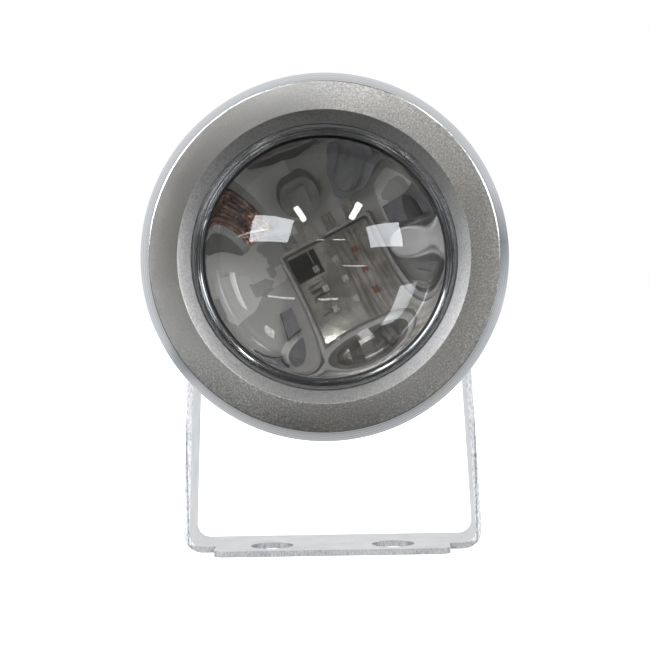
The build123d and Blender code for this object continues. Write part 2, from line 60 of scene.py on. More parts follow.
# ------------------------------------------------------------------ material helper
class Shader:
    """A Principled material with colour, roughness and bump from object-space patterns."""

    def __init__(self, name, **sockets):
        self.material = bpy.data.materials.new(name)
        self.material.use_nodes = True
        self.tree = self.material.node_tree
        self.surface = self.tree.nodes["Principled BSDF"]
        for socket, value in sockets.items():
            self.surface.inputs[socket.replace("_", " ")].default_value = value
        self.where = self.tree.nodes.new("ShaderNodeTexCoord").outputs["Object"]

    def node(self, kind, **inputs):
        made = self.tree.nodes.new("ShaderNode" + kind)
        for socket, value in inputs.items():
            self.feed(made.inputs[socket.replace("_", " ")], value)
        return made

    def feed(self, socket, value):
        if isinstance(value, bpy.types.NodeSocket):
            self.tree.links.new(value, socket)
        else:
            socket.default_value = value

    def math(self, operation, a, b=0.0, clamp=False):
        made = self.tree.nodes.new("ShaderNodeMath")
        made.operation = operation
        made.use_clamp = clamp
        self.feed(made.inputs[0], a)
        self.feed(made.inputs[1], b)
        return made.outputs[0]

    def along(self, direction, origin=(0, 0, 0)):
        """How far a point lies from origin along a direction, in metres."""
        offset = self.node("VectorMath")
        offset.operation = "SUBTRACT"
        self.feed(offset.inputs[0], self.where)
        self.feed(offset.inputs[1], tuple(origin))
        dot = self.node("VectorMath")
        dot.operation = "DOT_PRODUCT"
        self.feed(dot.inputs[0], offset.outputs[0])
        self.feed(dot.inputs[1], direction)
        return dot.outputs["Value"]

    def join(self, x, y=0.0, z=0.0):
        return self.node("CombineXYZ", X=x, Y=y, Z=z).outputs[0]

    def noise(self, size, detail=3.0, rough=0.55, where=None, stretch=(1, 1, 1)):
        """Cloudy pattern whose features are about size metres across, from 0 to 1."""
        place = self.node("Mapping", Vector=where or self.where, Scale=stretch)
        return self.node("TexNoise", Vector=place.outputs[0], Scale=1 / size, Detail=detail,
                         Roughness=rough).outputs[0]

    def cells(self, size, where=None, metric="EUCLIDEAN", output="Distance"):
        """Cells about size metres apart: distance to the nearest centre, or a colour for each."""
        made = self.node("TexVoronoi", Vector=where or self.where, Scale=1 / size)
        made.distance = metric
        return made.outputs[output]

    def ramp(self, factor, *stops):
        """Each stop is (position, grey level or colour)."""
        made = self.tree.nodes.new("ShaderNodeValToRGB")
        while len(made.color_ramp.elements) < len(stops):
            made.color_ramp.elements.new(0.5)
        for element, (position, colour) in zip(made.color_ramp.elements, stops):
            element.position = position
            element.color = (*colour, 1) if isinstance(colour, tuple) else (
                colour, colour, colour, 1)
        self.feed(made.inputs[0], factor)
        return made.outputs[0]

    def mix(self, factor, a, b):
        made = self.tree.nodes.new("ShaderNodeMix")
        made.data_type = "RGBA"
        self.feed(made.inputs[0], factor)
        for socket, value in ((made.inputs[6], a), (made.inputs[7], b)):
            self.feed(socket, (*value, 1) if isinstance(value, tuple) else value)
        return made.outputs[2]

    def choose(self, factor, a, b):
        """a where factor is 0, b where it is 1."""
        made = self.tree.nodes.new("ShaderNodeMix")
        self.feed(made.inputs[0], factor)
        self.feed(made.inputs[2], a)
        self.feed(made.inputs[3], b)
        return made.outputs[0]

    def rescale(self, value, low, high, to_low=0.0, to_high=1.0):
        made = self.node(
            "MapRange", Value=value, From_Min=low, From_Max=high, To_Min=to_low, To_Max=to_high)
        return made.outputs[0]

    def between(self, value, low, high, soft=0.05 * MM):
        """1 where value lies between low and high, with a soft edge."""
        rise = self.rescale(value, low - soft, low + soft)
        fall = self.rescale(value, high - soft, high + soft)
        return self.math("SUBTRACT", rise, fall, clamp=True)

    def lathe(self):
        """Distance from the lamp's axis and the angle round it, anticlockwise from the right."""
        x = self.along((1, 0, 0))
        z = self.along((0, 0, 1), (0, 0, AXIS_Z))
        squares = self.math("ADD", self.math("MULTIPLY", x, x), self.math("MULTIPLY", z, z))
        return self.math("SQRT", squares), self.math("ARCTAN2", z, x)

    def depth(self):
        """Distance behind the front ring's face."""
        return self.along((0, 1, 0), (0, FACE_Y, 0))

    def led_across(self):
        """Position across the LED, turned with it, from its middle."""
        return self.along((math.cos(LED_TURN), 0, math.sin(LED_TURN)), LED_CENTRE)

    def led_up(self):
        return self.along((-math.sin(LED_TURN), 0, math.cos(LED_TURN)), LED_CENTRE)

    def patch(self, sides, soft):
        """1 inside a rectangle square to the LED, given as left, right, bottom and top."""
        left, right, bottom, top = sides
        return self.math("MULTIPLY", self.between(self.led_across(), left, right, soft),
                         self.between(self.led_up(), bottom, top, soft))

    def colour(self, value):
        self.feed(
            self.surface.inputs["Base Color"], (*value, 1) if isinstance(value, tuple) else value)
        return self

    def roughness(self, value):
        self.feed(self.surface.inputs["Roughness"], value)
        return self

    def bump(self, height, depth):
        """depth is how far, in metres, the surface moves as height goes from 0 to 1."""
        made = self.node("Bump", Height=height, Distance=depth, Strength=1.0)
        self.feed(self.surface.inputs["Normal"], made.outputs[0])
        return self


# ------------------------------------------------------------------ front ring outline
# Radius from the lamp's axis and depth behind the ring's face.
BORE_RADIUS = RING_RADIUS - 6.4 * MM
THROAT_RADIUS = LENS_HIGH.x - 5.4 * MM
CHAMFER_INNER = THROAT_RADIUS + 3.1 * MM
FACE_INNER = CHAMFER_INNER + 3.7 * MM
FACE_OUTER = RING_RADIUS - 3.1 * MM
FACE_FALL = 0.4 * MM
POLISHED_CORNER = 0.2 * MM
BEVEL_DEPTH = 4.0 * MM
CHAMFER_DEPTH = 3.5 * MM
THROAT_DEPTH = 7.8 * MM
THROAT_HOLLOW = 0.84 * MM
THROAT_STEPS = 14
LIP_DEPTH = 8.8 * MM
RING_DEPTH = RING_HIGH.y - RING_LOW.y
REAR_CHAMFER = 0.8 * MM
LENS_RADIUS = LENS_HIGH.x
DOME_RIM = LENS_RADIUS - 6.2 * MM
FLANGE_THICKNESS = 5.0 * MM
LENS_CHAMFER = 0.5 * MM


# Angles round the bevel, in radians anticlockwise from the right, where a dark reflection is painted on it.
DARK_REFLECTION_LEFT = (-2.58, -2.46)
DARK_REFLECTION_RIGHT = (-0.10, 0.22)
# The direction round the face in which the blasting is smoothest.
CALM_ANGLE = 2.75


# ------------------------------------------------------------------ metals
def ring_aluminium():
    """Blasted face, turned bevel and side, satin chamfer and a polished throat with tool marks."""
    s = Shader("ring_aluminium", Metallic=1.0, Anisotropic=0.55)
    radius, angle = s.lathe()
    depth = s.depth()
    front = s.between(depth, -1 * MM, FACE_FALL + 0.02 * MM, 0.02 * MM)
    face = s.math(
        "MULTIPLY", front, s.between(radius, FACE_INNER - 0.05 * MM, FACE_OUTER - POLISHED_CORNER))
    chamfer = s.between(radius, CHAMFER_INNER, FACE_INNER)
    outside = s.between(radius, FACE_OUTER - POLISHED_CORNER, RING_RADIUS + MM)

    grain = s.noise(0.55 * MM, 3.0, 0.7)
    calm = s.rescale(s.math("COSINE", s.math("SUBTRACT", angle, CALM_ANGLE)), 0.2, 0.6)
    pits = s.cells(0.36 * MM)
    cloud = s.noise(14 * MM, 3.0)
    face_colour = s.ramp(
        grain, (0.30, (0.30, 0.29, 0.275)), (0.5, (0.43, 0.418, 0.395)), (0.70, (0.70, 0.685, 0.645)))
    face_colour = s.mix(s.math("MULTIPLY", calm, 0.75), face_colour, (0.43, 0.42, 0.40))
    face_rough = s.rescale(
        s.math("ADD", grain, s.math("MULTIPLY", cloud, 0.4)), 0.4, 1.0, 0.30, 0.44)

    across = s.join(radius, depth)
    lines = s.noise(0.42 * MM, 2.0, 0.6, across)
    # Painted dark reflection: between these angles the bevel's colour is darkened in streaks along its
    # turning lines.
    painted_dark_reflection = s.math(
        "MAXIMUM", s.between(angle, *DARK_REFLECTION_LEFT, 0.09), s.between(angle, *DARK_REFLECTION_RIGHT, 0.16))
    painted_dark_reflection = s.math("MULTIPLY", painted_dark_reflection, s.rescale(lines, 0.3, 0.6, 0.55, 0.9))
    bright = s.ramp(lines, (0.38, (0.68, 0.685, 0.695)), (0.6, (0.95, 0.957, 0.965)))
    bevel_with_dark_reflection = s.mix(painted_dark_reflection, bright, (0.30, 0.315, 0.335))
    outside_rough = s.rescale(lines, 0.3, 0.7, 0.14, 0.26)

    satin = s.noise(0.6 * MM, 3.0, 0.7)
    chamfer_colour = s.ramp(satin, (0.32, (0.31, 0.302, 0.29)), (0.66, (0.50, 0.49, 0.475)))
    chamfer_rough = s.rescale(satin, 0.3, 0.7, 0.44, 0.54)

    groove = s.noise(0.45 * MM, 2.0, 0.6, s.join(depth, radius))
    throat_colour = s.ramp(groove, (0.38, (0.24, 0.244, 0.248)), (0.62, (0.74, 0.75, 0.76)))

    colour = s.mix(chamfer, throat_colour, chamfer_colour)
    colour = s.mix(outside, colour, bevel_with_dark_reflection)
    rough = s.choose(chamfer, s.rescale(groove, 0.3, 0.7, 0.05, 0.14), chamfer_rough)
    rough = s.choose(outside, rough, outside_rough)
    height = s.choose(chamfer, s.math("MULTIPLY", groove, 1.6), s.math("MULTIPLY", satin, 0.4))
    height = s.choose(outside, height, s.math("MULTIPLY", lines, 0.12))
    blasted = s.math("ADD", s.math("MULTIPLY", grain, 0.9), s.math("MULTIPLY", pits, 0.5))
    blasted = s.math("MULTIPLY", blasted, s.rescale(calm, 0, 1, 1.3, 0.3))
    s.colour(s.mix(face, colour, face_colour))
    s.roughness(s.choose(face, rough, face_rough))
    tangent = s.tree.nodes.new("ShaderNodeTangent")
    tangent.direction_type = "RADIAL"
    tangent.axis = "Y"
    s.feed(s.surface.inputs["Tangent"], tangent.outputs[0])
    return s.bump(s.choose(face, height, blasted), 0.05 * MM)


# Depths behind the ring face between which the casting is turned.
MACHINED_FROM = 9 * MM
MACHINED_TO = 20.9 * MM


def cast_aluminium():
    """Shot-blasted casting with machined collar, seats and cavity."""
    s = Shader("cast_aluminium", Metallic=1.0)
    radius, _ = s.lathe()
    depth = s.depth()
    skin = s.noise(0.9 * MM, 5.0, 0.65)
    cloud = s.noise(18 * MM, 3.0)
    grime = s.noise(5 * MM, 4.0)
    tone = s.math("ADD", s.math("MULTIPLY", skin, 0.5), s.math("MULTIPLY", cloud, 0.5))
    cast = s.ramp(
        tone, (0.3, (0.36, 0.365, 0.37)), (0.5, (0.50, 0.50, 0.505)), (0.7, (0.62, 0.625, 0.63)))
    stained = s.mix(s.ramp(grime, (0.52, 0.0), (0.72, 0.35)), cast, (0.30, 0.30, 0.29))
    turned = s.noise(0.2 * MM, 2.0, 0.6, s.join(radius, depth))
    machined = s.between(depth, MACHINED_FROM, MACHINED_TO)
    s.colour(s.mix(machined, stained, s.ramp(turned, (0.35, 0.6), (0.65, 0.82))))
    cast_rough = s.rescale(skin, 0.3, 0.7, 0.38, 0.6)
    turned_rough = s.rescale(turned, 0.3, 0.7, 0.2, 0.34)
    s.roughness(s.choose(machined, cast_rough, turned_rough))
    height = s.choose(machined, s.math("MULTIPLY", skin, 1.0), s.math("MULTIPLY", turned, 0.1))
    return s.bump(height, 0.12 * MM)


# The dark line that shearing leaves on the strip's edge, measured in from the bracket's widest place.
TORN_FROM = 1.95 * MM
TORN_TO = 1.4 * MM


def bracket_steel():
    """Bright rolled strip with a fine grain across it, and pale, speckled sheared edges."""
    s = Shader("bracket_steel")
    grain = s.noise(0.5 * MM, 3.0, 0.6, stretch=(1, 0.04, 1))
    cloud = s.noise(9 * MM, 3.0)
    tone = s.math("ADD", s.math("MULTIPLY", grain, 0.4), s.math("MULTIPLY", cloud, 0.6))
    rolled = s.ramp(
        tone, (0.35, (0.48, 0.483, 0.487)), (0.5, (0.54, 0.543, 0.547)), (0.65, (0.61, 0.61, 0.615)))
    facing = s.node("SeparateXYZ", Vector=s.node("NewGeometry").outputs["True Normal"]).outputs[1]
    edge = s.rescale(s.math("ABSOLUTE", facing), 0.6, 0.8)
    torn = s.noise(0.5 * MM, 2.0, 0.7, stretch=(1, 1, 0.35))
    patch = s.noise(9 * MM, 2.0)
    marks = s.math("ADD", s.math("MULTIPLY", torn, 0.75), s.math("MULTIPLY", patch, 0.25))
    sheared = s.ramp(
        marks, (0.36, (0.42, 0.42, 0.425)), (0.5, (0.66, 0.66, 0.67)), (0.62, (0.82, 0.82, 0.83)))
    outward = s.math("ABSOLUTE", s.along((1, 0, 0)))
    torn_line = s.between(
        outward, BRACKET_HALF_WIDTH - TORN_FROM, BRACKET_HALF_WIDTH - TORN_TO, 0.15 * MM)
    torn_line = s.math("MULTIPLY", torn_line, s.rescale(torn, 0.35, 0.6, 0.9, 0.45))
    sheared = s.mix(torn_line, sheared, (0.12, 0.12, 0.12))
    # Painted shade: the sheared edges of the foot plate and of its holes, below 2 mm and easing out by 3 mm,
    # are darkened halfway towards black.
    low = s.rescale(s.along((0, 0, 1)), 2.0 * MM, 3.0 * MM, 0.5, 1.0)
    s.colour(s.mix(edge, rolled, s.mix(low, (0.05, 0.05, 0.05), sheared)))
    s.feed(s.surface.inputs["Metallic"], s.rescale(edge, 0, 1, 1.0, 0.45))
    s.roughness(s.choose(edge, s.rescale(grain, 0.3, 0.7, 0.3, 0.42), 0.5))
    return s.bump(s.choose(edge, s.math("MULTIPLY", grain, 0.15), torn), 0.06 * MM)


def turned_metal(name, dark, light, rough_low, rough_high, grain=0.25 * MM):
    """Bright metal with fine tool marks, faint clouding and small stains."""
    s = Shader(name, Metallic=1.0)
    marks = s.noise(grain, 3.0, 0.65, stretch=(1, 3, 1))
    cloud = s.noise(3 * MM, 3.0)
    tone = s.math("ADD", s.math("MULTIPLY", marks, 0.5), s.math("MULTIPLY", cloud, 0.5))
    s.colour(s.ramp(tone, (0.32, dark), (0.66, light)))
    s.roughness(s.rescale(tone, 0.3, 0.7, rough_low, rough_high))
    return s.bump(marks, 0.01 * MM)


def stainless():
    return turned_metal("stainless", (0.50, 0.50, 0.51), (0.74, 0.74, 0.75), 0.2, 0.36)


def nickel_brass():
    return turned_metal("nickel_brass", (0.58, 0.56, 0.52), (0.80, 0.78, 0.73), 0.16, 0.32)


def tinned():
    return turned_metal("tinned", (0.58, 0.59, 0.60), (0.82, 0.83, 0.84), 0.2, 0.4, 0.15 * MM)


def can_aluminium():
    return turned_metal(
        "can_aluminium", (0.26, 0.255, 0.25), (0.38, 0.37, 0.36), 0.42, 0.55, 0.12 * MM)


def gold_wire():
    return turned_metal("gold_wire", (0.62, 0.55, 0.42), (0.88, 0.84, 0.74), 0.1, 0.2, 0.05 * MM)


def copper_wire():
    """Lacquered copper: red-brown, glossier where the lacquer is thick."""
    s = Shader("copper_wire", Metallic=1.0, Coat_Weight=0.5, Coat_Roughness=0.12)
    marks = s.noise(0.5 * MM, 3.0, 0.6)
    cloud = s.noise(2.2 * MM, 2.0)
    tone = s.math("ADD", s.math("MULTIPLY", marks, 0.4), s.math("MULTIPLY", cloud, 0.6))
    s.colour(
        s.ramp(tone, (0.40, (0.05, 0.028, 0.022)), (0.51, (0.22, 0.105, 0.075)), (0.62, (0.90, 0.56, 0.43))))
    s.roughness(s.rescale(tone, 0.3, 0.7, 0.22, 0.4))
    return s.bump(marks, 0.02 * MM)


# Patches of the LED's plate from its middle: left and right, then bottom and top.
STRIPED_WIDTH = (0.6 * MM, 6.2 * MM)
# The next two patches are where a dark reflection is painted on the plate, solid in the corner and in ribs
# at the side.
DARK_REFLECTION_CORNER = (-6.8 * MM, -2.3 * MM, 2.4 * MM, 6.4 * MM)
RIBBED_DARK_REFLECTION = (-5.6 * MM, -2.9 * MM, -3.4 * MM, 2.4 * MM)


def silver_plate():
    """Plated slug and leads, with brown stripes beside the red dies, and a painted dark reflection: a dark
    corner and a ribbed dark patch.
    """
    s = Shader("silver_plate", Metallic=1.0)
    across = s.led_across()
    plan = s.join(across, s.led_up())
    stripes = s.noise(0.55 * MM, 2.0, 0.5, plan, (1, 0.06, 1))
    cloud = s.noise(3 * MM, 3.0)
    window = s.between(across, *STRIPED_WIDTH, 0.3 * MM)
    brown = s.math("MULTIPLY", window, s.ramp(stripes, (0.42, 0.0), (0.66, 0.62)))
    plate = s.ramp(cloud, (0.35, (0.60, 0.585, 0.56)), (0.65, (0.80, 0.78, 0.75)))
    # Painted dark reflection: the corner patch, and ribs within the side patch, turn the plate almost black.
    corner = s.patch(DARK_REFLECTION_CORNER, 0.15 * MM)
    dark_reflection_ribs = s.ramp(s.noise(1.0 * MM, 1.0, 0.5, plan, (0.1, 1, 1)), (0.44, 0.0), (0.56, 0.8))
    dark = s.math("MAXIMUM", corner, s.math("MULTIPLY", s.patch(RIBBED_DARK_REFLECTION, 0.3 * MM), dark_reflection_ribs))
    s.colour(s.mix(dark, s.mix(brown, plate, (0.30, 0.235, 0.17)), (0.055, 0.053, 0.05)))
    s.roughness(s.rescale(cloud, 0.3, 0.7, 0.1, 0.2))
    return s.bump(s.math("ADD", cloud, s.math("MULTIPLY", stripes, 0.15)), 0.02 * MM)


# ------------------------------------------------------------------ glass, rubber and plastics
def clear(name, **sockets):
    """Clear solid. Lamp rays pass straight through it, so that the pieces behind it are lit."""
    s = Shader(name, Transmission_Weight=1.0, **sockets)
    output = s.tree.nodes["Material Output"]
    lamp_ray = s.tree.nodes.new("ShaderNodeLightPath").outputs["Is Shadow Ray"]
    see_through = s.tree.nodes.new("ShaderNodeBsdfTransparent")
    mixed = s.tree.nodes.new("ShaderNodeMixShader")
    s.feed(mixed.inputs[0], lamp_ray)
    s.feed(mixed.inputs[1], s.surface.outputs[0])
    s.feed(mixed.inputs[2], see_through.outputs[0])
    s.feed(output.inputs["Surface"], mixed.outputs[0])
    return s


def lens_glass():
    """Pressed glass, very slightly wavy, with a faint haze of handling."""
    s = clear("lens_glass", IOR=1.5)
    haze = s.noise(6 * MM, 3.0)
    s.colour(s.ramp(haze, (0.3, (0.985, 0.982, 0.976)), (0.7, (0.997, 0.995, 0.99))))
    s.roughness(s.ramp(haze, (0.5, 0.0), (0.85, 0.012)))
    return s.bump(s.noise(11 * MM, 1.0, 0.4), 0.006 * MM)


def clear_silicone():
    s = clear("clear_silicone", IOR=1.41)
    wave = s.noise(2 * MM, 2.0)
    s.colour(s.ramp(wave, (0.3, (0.97, 0.965, 0.94)), (0.7, (0.99, 0.99, 0.975))))
    s.roughness(s.ramp(wave, (0.4, 0.0), (0.8, 0.03)))
    return s.bump(wave, 0.02 * MM)


MOULDED_RELIEF = 0.02 * MM


def moulded(name, dark, light, rough, grain=0.5 * MM, **sockets):
    """Moulded plastic, rubber or ceramic: fine surface grain, faint mottling and uneven sheen."""
    s = Shader(name, **sockets)
    fine = s.noise(grain, 4.0, 0.6)
    cloud = s.noise(grain * 9, 3.0)
    tone = s.math("ADD", s.math("MULTIPLY", fine, 0.45), s.math("MULTIPLY", cloud, 0.55))
    s.colour(s.ramp(tone, (0.33, dark), (0.66, light)))
    s.roughness(s.rescale(tone, 0.3, 0.7, rough - 0.08, rough + 0.08))
    return s.bump(fine, MOULDED_RELIEF)


def black_rubber():
    return moulded("black_rubber", (0.018, 0.018, 0.019), (0.04, 0.04, 0.042), 0.55)


def nylon():
    return moulded("nylon", (0.68, 0.67, 0.62), (0.80, 0.79, 0.75), 0.42, Subsurface_Weight=0.1)


def grey_silicone():
    return moulded("grey_silicone", (0.22, 0.23, 0.24), (0.32, 0.33, 0.34), 0.6)


def led_moulding():
    return moulded("led_moulding", (0.12, 0.117, 0.11), (0.18, 0.175, 0.165), 0.45, 0.3 * MM)


def black_epoxy():
    return moulded("black_epoxy", (0.075, 0.075, 0.077), (0.13, 0.13, 0.133), 0.4, 0.2 * MM)


def ferrite():
    return moulded("ferrite", (0.085, 0.08, 0.075), (0.15, 0.145, 0.135), 0.5, 0.3 * MM)


def ceramic_tan():
    return moulded("ceramic_tan", (0.34, 0.25, 0.17), (0.47, 0.36, 0.25), 0.4, 0.2 * MM)


def ceramic_chip():
    return moulded("ceramic_chip", (0.05, 0.05, 0.052), (0.12, 0.12, 0.125), 0.35, 0.25 * MM)


# Dies further right than this, measured from the LED's middle, are red.
RED_COLUMN = 1.6 * MM


def led_chip():
    """Bare dies: the right-hand column red, the others pale and glassy."""
    s = Shader("led_chip", Metallic=0.2)
    across = s.led_across()
    red = s.rescale(across, RED_COLUMN, RED_COLUMN + 0.2 * MM)
    grid = s.cells(0.32 * MM, s.join(across, s.led_up()), "CHEBYCHEV")
    warm = s.ramp(grid, (0.2, (0.07, 0.018, 0.011)), (0.5, (0.12, 0.032, 0.021)))
    pale = s.ramp(grid, (0.2, (0.15, 0.155, 0.15)), (0.5, (0.24, 0.245, 0.235)))
    s.colour(s.mix(red, pale, warm))
    s.roughness(s.rescale(grid, 0, 0.5, 0.2, 0.35))
    return s.bump(grid, 0.01 * MM)


POUR_SIZE = 6.5 * MM
PAD_SIZE = 2.4 * MM


def circuit_board():
    """Pale solder mask over copper areas whose edges run square to the LED, with bare pads."""
    s = Shader("circuit_board")
    plan = s.join(s.led_across(), s.led_up())
    pour = s.cells(POUR_SIZE, plan, "CHEBYCHEV")
    cell = s.node("SeparateXYZ", Vector=s.cells(POUR_SIZE, plan, "CHEBYCHEV", "Color")).outputs[0]
    gap = s.ramp(pour, (0.56, 0.0), (0.6, 1.0))
    weave = s.noise(0.35 * MM, 3.0, 0.6)
    cloud = s.noise(8 * MM, 3.0)
    copper = s.ramp(cell, (0.3, (0.25, 0.243, 0.23)), (0.7, (0.42, 0.408, 0.385)))
    small = s.node("SeparateXYZ", Vector=s.cells(PAD_SIZE, plan, "CHEBYCHEV", "Color")).outputs[1]
    pads = s.ramp(small, (0.76, 0.0), (0.79, 0.7))
    mask = s.mix(pads, s.mix(gap, copper, (0.24, 0.23, 0.21)), (0.17, 0.165, 0.155))
    speck = s.ramp(weave, (0.3, 0.88), (0.7, 1.0))
    shade = s.math("MULTIPLY", speck, s.rescale(cloud, 0.3, 0.7, 0.86, 1.0))
    s.colour(s.mix(shade, (0.1, 0.1, 0.1), mask))
    s.roughness(s.rescale(cloud, 0.3, 0.7, 0.3, 0.45))
    height = s.math("ADD", s.math("MULTIPLY", gap, -1.0), s.math("MULTIPLY", weave, 0.25))
    return s.bump(height, 0.04 * MM)


MAKERS = {maker.__name__: maker for maker in (
    ring_aluminium, lens_glass, black_rubber, cast_aluminium, nylon, stainless, nickel_brass,
    grey_silicone, circuit_board, silver_plate, led_moulding, clear_silicone, led_chip, gold_wire,
    black_epoxy, tinned, ferrite, copper_wire, can_aluminium, ceramic_chip, ceramic_tan, bracket_steel)}
FINISHES = {slot: maker().material for slot, maker in MAKERS.items()}

SLOT_NODES = {
    "black_rubber": ["lens_front_gasket", "lens_rear_seal", "gland_washer", "gland_seal"],
    "cast_aluminium": ["housing"],
    "nylon": ["friction_washers"],
    "stainless": ["flat_washers", "spring_washers", "pivot_bolts", "board_screws"],
    "nickel_brass": ["gland_body", "gland_nut"],
    "grey_silicone": ["thermal_pad"],
    "circuit_board": ["led_board"],
    "silver_plate": ["led_base", "led_leads"],
    "led_moulding": ["led_frame"],
    "clear_silicone": ["led_cover"],
    "led_chip": ["led_dies"],
    "gold_wire": ["led_bond_wires"],
    "black_epoxy": ["ir_receiver", "controller_chip", "driver_transistors", "rectifier", "capacitor_base"],
    "tinned": ["controller_pins", "supply_posts"],
    "ferrite": ["coil_core", "choke"],
    "copper_wire": ["coil_winding"],
    "can_aluminium": ["capacitor_can"],
    "ceramic_chip": ["resistors"],
    "ceramic_tan": ["ceramic_capacitors"],
    "bracket_steel": ["bracket"],
}
for slot_name, node_names in SLOT_NODES.items():
    for node_name in node_names:
        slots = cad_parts[node_name].material_slots
        for one in slots:
            one.material = FINISHES[slot_name]


# ------------------------------------------------------------------ turned pieces
def arc(centre, radius, start, end, steps):
    """Points on an arc in the (radius, depth) plane. Angles in radians, from the radius axis."""
    angles = [start + (end - start) * step / steps for step in range(steps + 1)]
    return [(centre[0] + radius * math.cos(a), centre[1] + radius * math.sin(a)) for a in angles]


def eased(corners, round_radius, steps=4):
    """A closed outline with every corner replaced by a small tangent arc."""
    points = []
    for index, corner in enumerate(corners):
        here = Vector(corner)
        back = (Vector(corners[index - 1]) - here).normalized()
        ahead = (Vector(corners[(index + 1) % len(corners)]) - here).normalized()
        turn = back.angle(ahead)
        if math.pi - turn < math.radians(8):
            points.append(corner)
            continue
        reach = round_radius / math.tan(turn / 2)
        centre = here + (back + ahead).normalized() * round_radius / math.sin(turn / 2)
        start, end = here + back * reach, here + ahead * reach
        for step in range(steps + 1):
            spoke = (start - centre).normalized().slerp((end - centre).normalized(), step / steps)
            points.append(tuple(centre + spoke * round_radius))
    return points


def inside_out(mesh):
    """Whether a closed mesh's faces look inwards, from the sign of its volume."""
    volume = sum(face.center.dot(face.normal) * face.area for face in mesh.polygons)
    return volume < 0


SHARP_ANGLE = math.radians(25)


def turned(name, outline, material, segments, closed=True):
    """A mesh turned about the lamp's axis from (radius, depth) points."""
    verts, rings = [], []
    for radius, depth in outline:
        if radius < 1e-9:
            rings.append([len(verts)])
            verts.append((0, FACE_Y + depth, AXIS_Z))
            continue
        rings.append(list(range(len(verts), len(verts) + segments)))
        for step in range(segments):
            angle = 2 * math.pi * step / segments
            verts.append(
                (radius * math.cos(angle), FACE_Y + depth, AXIS_Z + radius * math.sin(angle)))
    faces = []
    pairs = list(zip(rings, rings[1:] + rings[:1])) if closed else list(zip(rings, rings[1:]))
    for first, second in pairs:
        for step in range(segments):
            after = (step + 1) % segments
            if len(first) == 1 and len(second) == 1:
                continue
            if len(first) == 1:
                faces.append((first[0], second[after], second[step]))
            elif len(second) == 1:
                faces.append((first[step], first[after], second[0]))
            else:
                faces.append((first[step], first[after], second[after], second[step]))
    mesh = bpy.data.meshes.new(name)
    mesh.from_pydata(verts, [], faces)
    if inside_out(mesh):
        mesh.flip_normals()
    mesh.materials.append(material)
    piece = bpy.data.objects.new(name, mesh)
    bpy.context.scene.collection.objects.link(piece)
    mesh.shade_smooth()
    mesh.set_sharp_from_angle(angle=SHARP_ANGLE)
    return piece


EDGE = 0.4 * MM
RING_SEGMENTS = 360
LENS_SEGMENTS = 288
DOME_STEPS = 72


def coved_throat():
    """Hollow curve from the lip up to the chamfer, polished by the turning tool."""
    rear, front = Vector((THROAT_RADIUS, THROAT_DEPTH)), Vector((CHAMFER_INNER, CHAMFER_DEPTH))
    chord = front - rear
    into_metal = Vector((-chord.y, chord.x)).normalized()
    points = []
    for step in range(1, THROAT_STEPS):
        share = step / THROAT_STEPS
        hollow = THROAT_HOLLOW * 4 * share * (1 - share)
        points.append(tuple(rear + chord * share + into_metal * hollow))
    return points


def ring_outline():
    corners = [
        (FACE_INNER, 0),
        (FACE_OUTER, FACE_FALL),
        (RING_RADIUS, BEVEL_DEPTH),
        (RING_RADIUS, RING_DEPTH - REAR_CHAMFER),
        (RING_RADIUS - REAR_CHAMFER, RING_DEPTH),
        (BORE_RADIUS, RING_DEPTH),
        (BORE_RADIUS, LIP_DEPTH),
        (THROAT_RADIUS, LIP_DEPTH),
        (THROAT_RADIUS, THROAT_DEPTH),
        *coved_throat(),
        (CHAMFER_INNER, CHAMFER_DEPTH),
    ]
    return eased(corners, EDGE)


def lens_outline():
    """Dome, flange and flat rear face, from the apex round to the middle of the back."""
    apex_depth = LENS_LOW.y - FACE_Y
    rear_depth = LENS_HIGH.y - FACE_Y
    rim_depth = rear_depth - FLANGE_THICKNESS
    rise = rim_depth - apex_depth
    dome_radius = (DOME_RIM**2 + rise**2) / (2 * rise)
    half = math.asin(DOME_RIM / dome_radius)
    dome = arc(
        (0, apex_depth + dome_radius), dome_radius, -math.pi / 2, -math.pi / 2 + half, DOME_STEPS)
    dome[0] = (0, apex_depth)
    edge = [
        (LENS_RADIUS - LENS_CHAMFER, rim_depth),
        (LENS_RADIUS, rim_depth + LENS_CHAMFER),
        (LENS_RADIUS, rear_depth - LENS_CHAMFER),
        (LENS_RADIUS - LENS_CHAMFER, rear_depth),
    ]
    back = [(radius * LENS_RADIUS, rear_depth) for radius in (0.8, 0.5, 0.2)]
    return dome + edge + back + [(0, rear_depth)]


ring = turned("turned_front_ring", ring_outline(), FINISHES["ring_aluminium"], RING_SEGMENTS)
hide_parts("front_ring")
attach(ring, "head")

glass = turned("polished_lens", lens_outline(), FINISHES["lens_glass"], LENS_SEGMENTS, closed=False)
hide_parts("lens")
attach(glass, "head")


# ------------------------------------------------------------------ softened edges on CAD pieces
SOFTENED_ANGLE = math.radians(35)


def soften(node_name, width):
    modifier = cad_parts[node_name].modifiers.new("softened_edges", "BEVEL")
    modifier.width = width
    modifier.segments = 2
    modifier.limit_method = "ANGLE"
    modifier.angle_limit = SOFTENED_ANGLE
    modifier.harden_normals = True


SOFTENED = {"bracket": 0.2 * MM, "gland_nut": 0.15 * MM, "pivot_bolts": 0.12 * MM}
for node_name, width in SOFTENED.items():
    soften(node_name, width)


# ------------------------------------------------------------------ studio
CAMERA_LENS = 80.69
CAMERA_SENSOR = 36
CAMERA_YAW = math.radians(1.8)
CAMERA_ROLL = math.radians(1.2)
CAMERA_DISTANCE = 450 * MM
CAMERA_BELOW_AXIS = 21.2 * MM


